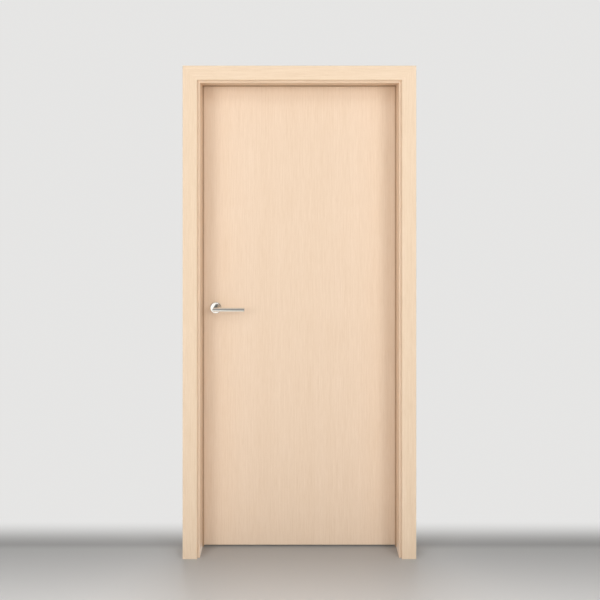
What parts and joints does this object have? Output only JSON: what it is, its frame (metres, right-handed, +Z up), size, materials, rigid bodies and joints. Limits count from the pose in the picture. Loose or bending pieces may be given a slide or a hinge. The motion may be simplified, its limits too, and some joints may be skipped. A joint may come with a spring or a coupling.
{
  "type": "flush interior door",
  "caption": "Flush wood-faced interior door leaf hung on butt hinges in a deep wood lining with seals, flat mitred casings on both faces and lever handles on round roses.",
  "frame": {"origin": "on the back of the hinge-side lining, at floor level, in the middle of the wall's thickness", "axes": "+Z up the door; +X out of the opening through the hinge-side lining, so the door spans toward -X; -Y is the face the leaf is pushed from (the pictured side) and +Y the side it opens toward"},
  "size_m": [1.019, 0.199, 2.1215],
  "materials": {
    "lining_wood": "pale straight-grained veneer, satin lacquer",
    "casing_wood": "pale straight-grained veneer, satin lacquer",
    "leaf_face_wood": "pale straight-grained veneer, upright grain, satin lacquer",
    "leaf_inner_wood": "pale solid wood and particle board, plain",
    "seal": "matt brown elastomer",
    "hinge_steel": "satin stainless",
    "latch_steel": "satin nickel-plated steel",
    "handle_metal": "satin with a soft shine"
  },
  "bodies": {
    "frame": {"lining_hinge_side": "lining_wood", "lining_lock_side": "lining_wood", "lining_head": "lining_wood", "stop_hinge_side": "lining_wood", "stop_lock_side": "lining_wood", "stop_head": "lining_wood", "seal_hinge_side": "seal", "seal_lock_side": "seal", "seal_head": "seal", "casing_front_hinge_side": "casing_wood", "casing_front_lock_side": "casing_wood", "casing_front_head": "casing_wood", "casing_back_hinge_side": "casing_wood", "casing_back_lock_side": "casing_wood", "casing_back_head": "casing_wood", "strike_plate": "latch_steel", "hinge_plate_frame_top": "hinge_steel", "hinge_plate_frame_middle": "hinge_steel", "hinge_plate_frame_bottom": "hinge_steel", "hinge_pin_top": "hinge_steel", "hinge_pin_middle": "hinge_steel", "hinge_pin_bottom": "hinge_steel"},
    "leaf": {"leaf_panel_front": "leaf_face_wood", "leaf_panel_back": "leaf_face_wood", "leaf_stile_lock_side": "leaf_inner_wood", "leaf_stile_hinge_side": "leaf_inner_wood", "leaf_rail_top": "leaf_inner_wood", "leaf_rail_bottom": "leaf_inner_wood", "leaf_core": "leaf_inner_wood", "latch_case": "latch_steel", "latch_forend": "latch_steel", "latch_bolt": "latch_steel", "rose_front": "handle_metal", "rose_back": "handle_metal", "hinge_plate_leaf_top": "hinge_steel", "hinge_plate_leaf_middle": "hinge_steel", "hinge_plate_leaf_bottom": "hinge_steel"},
    "lever": {"lever_front": "handle_metal", "lever_back": "handle_metal", "spindle": "latch_steel", "latch_follower": "latch_steel"}
  },
  "joints": [
    {"name": "door_swing", "type": "hinge", "parent": "frame", "child": "leaf", "pos_m": [-0.0225, 0.075, 1], "axis": [0, 0, -1], "range_deg": [0, 170]},
    {"name": "lever_turn", "type": "hinge", "parent": "leaf", "child": "lever", "pos_m": [-0.83, 0.045, 1.057], "axis": [0, 1, 0], "range_deg": [0, 40], "stiffness_Nm_per_rad": 1, "springref_deg": -68.75}
  ]
}
